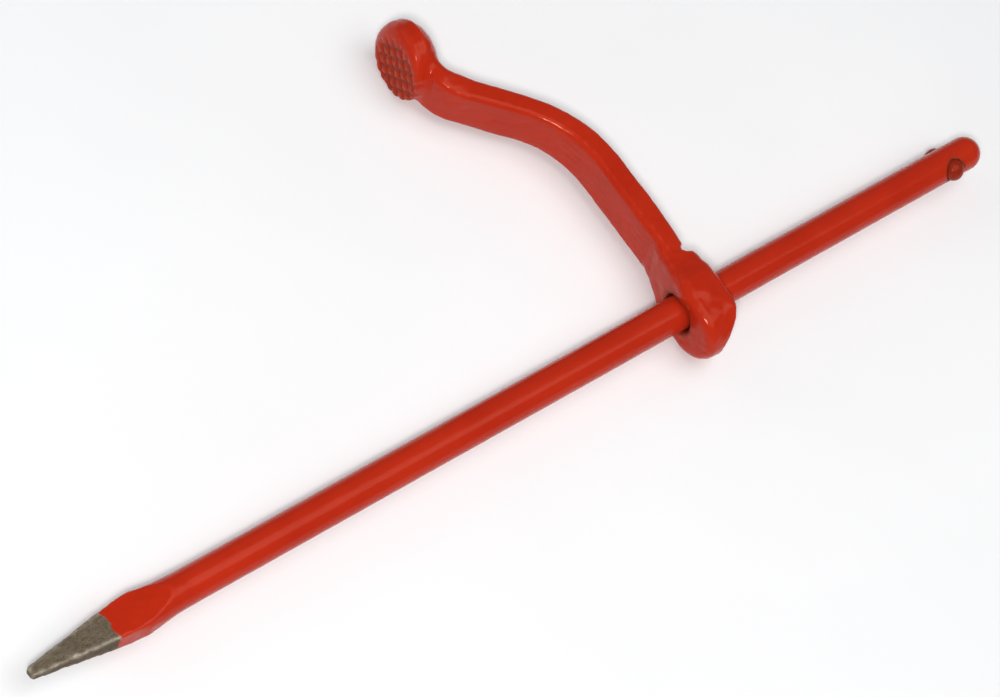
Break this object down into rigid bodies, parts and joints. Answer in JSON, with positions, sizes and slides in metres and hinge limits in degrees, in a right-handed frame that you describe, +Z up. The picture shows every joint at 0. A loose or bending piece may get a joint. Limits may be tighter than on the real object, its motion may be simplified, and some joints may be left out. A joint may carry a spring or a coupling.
{
  "type": "mason's sliding clamp",
  "caption": "Mason's sliding wall clamp: round bar with a flattened driving point, forged jaw with a knurled pad that slides on it, and a cross pin near the struck head.",
  "frame": {"origin": "below the middle of the whole clamp, at the height of its lowest point, with the clamp lying on its side", "axes": "+X along the bar from the point to the struck head, +Y from the bar to the jaw's pad, +Z up"},
  "size_m": [0.4, 0.1552, 0.027],
  "materials": {
    "red_paint": "gloss",
    "pin_paint": "gloss"
  },
  "bodies": {
    "spike": {"spike_bar": "red_paint", "stop_pin": "pin_paint"},
    "jaw": {"sliding_jaw": "red_paint"}
  },
  "joints": [
    {"name": "jaw_slide", "type": "slide", "parent": "spike", "child": "jaw", "axis": [1, 0, 0], "range_m": [-0.209, 0.1055]}
  ]
}
